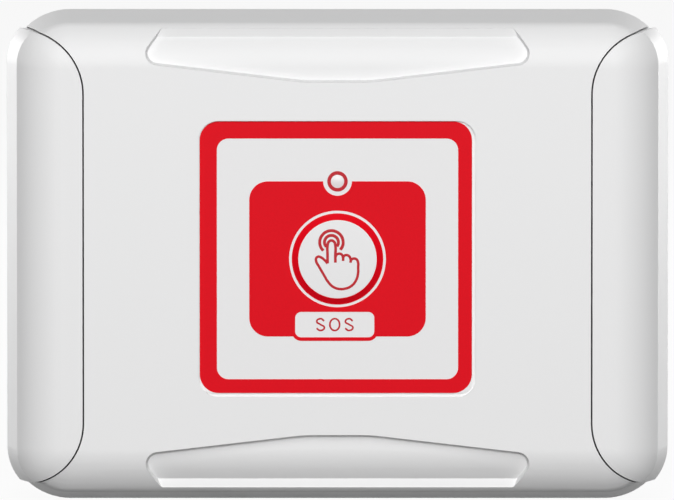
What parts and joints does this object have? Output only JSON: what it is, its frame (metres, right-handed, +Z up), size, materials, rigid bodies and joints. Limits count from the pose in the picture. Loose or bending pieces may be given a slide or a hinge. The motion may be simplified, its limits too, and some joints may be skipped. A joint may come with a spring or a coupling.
{
  "type": "wireless call button",
  "caption": "Wall-mounted wireless call button with an embossed film key, a light window and clip-on end caps over its fixing screws.",
  "frame": {"origin": "centre of the flat back face, which lies on the wall", "axes": "+X to the right as the front is seen, +Y into the wall, +Z up; the front faces -Y"},
  "size_m": [0.12, 0.0303, 0.089],
  "materials": {
    "housing_abs": "fine satin moulding",
    "cap_abs": "fine satin moulding",
    "seal_rubber": "matt rubber",
    "plated_steel": "zinc plated",
    "label_white": "satin film",
    "label_red": "printed satin film",
    "key_plastic": "moulded",
    "switch_black": "moulded",
    "tinned_metal": "tinned",
    "lamp_lens": "clear epoxy",
    "board_green": "solder mask",
    "holder_black": "moulded",
    "cell_jacket": "plain wrap",
    "shield_metal": "tinplate",
    "copper_wire": "enamelled wire",
    "chip_black": "moulded epoxy",
    "component_tan": "ceramic"
  },
  "bodies": {
    "housing": {"front_cover": "housing_abs", "rear_cover": "housing_abs", "housing_gasket": "seal_rubber", "housing_screws": "plated_steel", "label_film": "label_white", "label_red_print": "label_red", "tact_switch": "switch_black", "switch_legs": "tinned_metal", "status_led": "lamp_lens", "led_leads": "tinned_metal", "circuit_board": "board_green", "board_screws": "plated_steel", "battery_holder": "holder_black", "battery_upper": "cell_jacket", "battery_lower": "cell_jacket", "battery_contacts": "tinned_metal", "battery_springs": "tinned_metal", "radio_module": "shield_metal", "antenna_coil": "copper_wire", "microcontroller": "chip_black", "crystal": "shield_metal", "board_components": "component_tan"},
    "call_key": {"key_cap": "key_plastic", "switch_stem": "switch_black"},
    "left_cap": {"left_end_cap": "cap_abs"},
    "right_cap": {"right_end_cap": "cap_abs"}
  },
  "joints": [
    {"name": "key_press", "type": "slide", "parent": "housing", "child": "call_key", "axis": [0, 1, 0], "range_m": [0, 0.0005], "stiffness_N_per_m": 2500, "springref_m": -0.0006},
    {"name": "left_cap_pull", "type": "slide", "parent": "housing", "child": "left_cap", "axis": [0, -1, 0], "range_m": [0, 0.02]},
    {"name": "right_cap_pull", "type": "slide", "parent": "housing", "child": "right_cap", "axis": [0, -1, 0], "range_m": [0, 0.02]}
  ]
}
